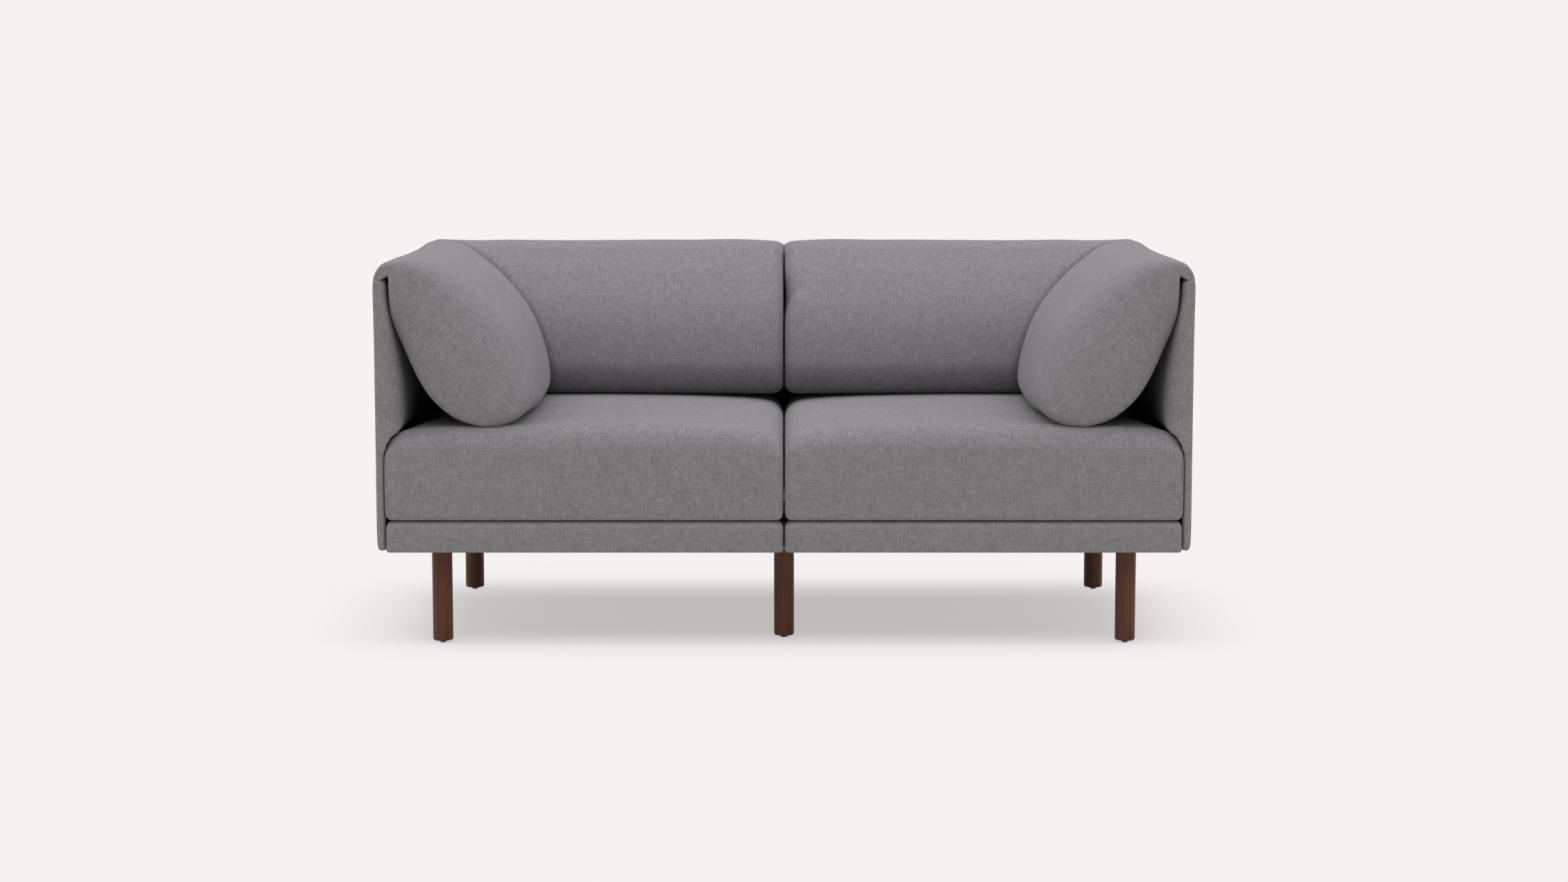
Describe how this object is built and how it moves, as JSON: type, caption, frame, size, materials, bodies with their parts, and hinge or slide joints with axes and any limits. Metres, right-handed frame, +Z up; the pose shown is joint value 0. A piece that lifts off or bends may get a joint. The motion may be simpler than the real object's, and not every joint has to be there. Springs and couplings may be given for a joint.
{
  "type": "two-seater sofa",
  "caption": "Low sofa of mirrored corner modules with thin upholstered panels, loose seat cushions, hung arm and back cushions and round wooden legs.",
  "frame": {"origin": "on the floor, under the middle of the sofa's bounding box", "axes": "+X to the right as a viewer faces the sofa, +Y to the back, +Z up; the front faces -Y"},
  "size_m": [1.598, 0.86, 0.755],
  "materials": {
    "fabric": "heathered mid-grey plain weave with slubs",
    "walnut": "dark walnut stain, satin lacquer",
    "timber": "raw planed frame timber",
    "webbing": "black elastic webbing",
    "lining": "black non-woven lining",
    "steel": "zinc plated",
    "glide": "moulded black nylon"
  },
  "bodies": {
    "frame": {"left_base_cover": "fabric", "left_dust_cover": "lining", "left_front_rail": "timber", "left_rear_rail": "timber", "left_inner_rail": "timber", "left_outer_rail": "timber", "left_front_leg_board": "timber", "left_rear_leg_board": "timber", "left_long_strap_1": "webbing", "left_long_strap_2": "webbing", "left_long_strap_3": "webbing", "left_cross_strap_1": "webbing", "left_cross_strap_2": "webbing", "left_arm_panel_cover": "fabric", "left_arm_panel_board": "timber", "left_back_panel_cover": "fabric", "left_back_panel_board": "timber", "left_front_leg": "walnut", "left_front_glide": "glide", "left_rear_leg": "walnut", "left_rear_glide": "glide", "right_base_cover": "fabric", "right_dust_cover": "lining", "right_front_rail": "timber", "right_rear_rail": "timber", "right_inner_rail": "timber", "right_outer_rail": "timber", "right_front_leg_board": "timber", "right_rear_leg_board": "timber", "right_long_strap_1": "webbing", "right_long_strap_2": "webbing", "right_long_strap_3": "webbing", "right_cross_strap_1": "webbing", "right_cross_strap_2": "webbing", "right_arm_panel_cover": "fabric", "right_arm_panel_board": "timber", "right_back_panel_cover": "fabric", "right_back_panel_board": "timber", "right_front_leg": "walnut", "right_front_glide": "glide", "right_rear_leg": "walnut", "right_rear_glide": "glide", "centre_front_leg": "walnut", "centre_front_glide": "glide", "centre_front_join_plate": "steel", "centre_rear_leg": "walnut", "centre_rear_glide": "glide", "centre_rear_join_plate": "steel"},
    "left_seat": {"left_seat_cushion": "fabric"},
    "right_seat": {"right_seat_cushion": "fabric"},
    "left_arm_pillow": {"left_arm_cushion": "fabric", "left_arm_cushion_flap": "fabric"},
    "right_arm_pillow": {"right_arm_cushion": "fabric", "right_arm_cushion_flap": "fabric"},
    "left_back_pillow": {"left_back_cushion": "fabric", "left_back_cushion_flap": "fabric"},
    "right_back_pillow": {"right_back_cushion": "fabric", "right_back_cushion_flap": "fabric"}
  },
  "joints": [
    {"name": "left_seat_pull", "type": "slide", "parent": "frame", "child": "left_seat", "axis": [0, -1, 0], "range_m": [0, 0.86]},
    {"name": "right_seat_pull", "type": "slide", "parent": "frame", "child": "right_seat", "axis": [0, -1, 0], "range_m": [0, 0.86]},
    {"name": "left_arm_lift", "type": "slide", "parent": "frame", "child": "left_arm_pillow", "axis": [0, 0, 1], "range_m": [0, 0.35]},
    {"name": "right_arm_lift", "type": "slide", "parent": "frame", "child": "right_arm_pillow", "axis": [0, 0, 1], "range_m": [0, 0.35]},
    {"name": "left_back_lift", "type": "slide", "parent": "frame", "child": "left_back_pillow", "axis": [0, 0, 1], "range_m": [0, 0.35]},
    {"name": "right_back_lift", "type": "slide", "parent": "frame", "child": "right_back_pillow", "axis": [0, 0, 1], "range_m": [0, 0.35]}
  ]
}
